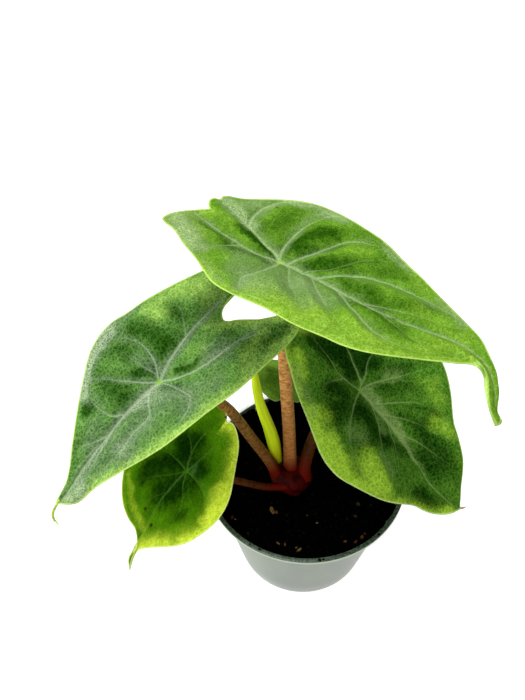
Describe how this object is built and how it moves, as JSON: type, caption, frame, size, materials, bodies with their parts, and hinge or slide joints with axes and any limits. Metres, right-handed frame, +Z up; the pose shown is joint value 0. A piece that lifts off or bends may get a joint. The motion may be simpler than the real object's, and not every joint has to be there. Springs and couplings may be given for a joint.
{
  "type": "potted ivory coast alocasia",
  "caption": "Young alocasia with arrow-shaped leaves on long mottled petioles and a rolled new leaf, rooted at a red crown in dark soil in a small round nursery pot.",
  "frame": {"origin": "on the pot's axis, in the plane that it stands on", "axes": "+Z up; +X is to the right and +Y away from the viewer in the reference view, where the longest drip tip points right"},
  "size_m": [0.1712, 0.1151, 0.1917],
  "materials": {
    "pot": "pale grey-green translucent polypropylene, satin",
    "soil": "damp black peat with bark crumbs and pale grit",
    "crown": "dark red, satin",
    "petiole": "pinkish brown with darker wavy cross marks, satin",
    "leaf": "mid green with silvery veins, a pale net and lime margins, satin",
    "old_leaf": "dull grey-green, matt",
    "new_leaf": "bright yellow-green, satin"
  },
  "bodies": {
    "root": {"pot": "pot", "soil": "soil", "crown": "crown", "top_petiole": "petiole", "left_petiole": "petiole", "right_petiole": "petiole", "low_petiole": "petiole", "back_petiole": "petiole", "top_leaf": "leaf", "left_leaf": "leaf", "right_leaf": "leaf", "low_leaf": "leaf", "back_leaf": "old_leaf", "rolled_leaf": "new_leaf"}
  },
  "joints": []
}
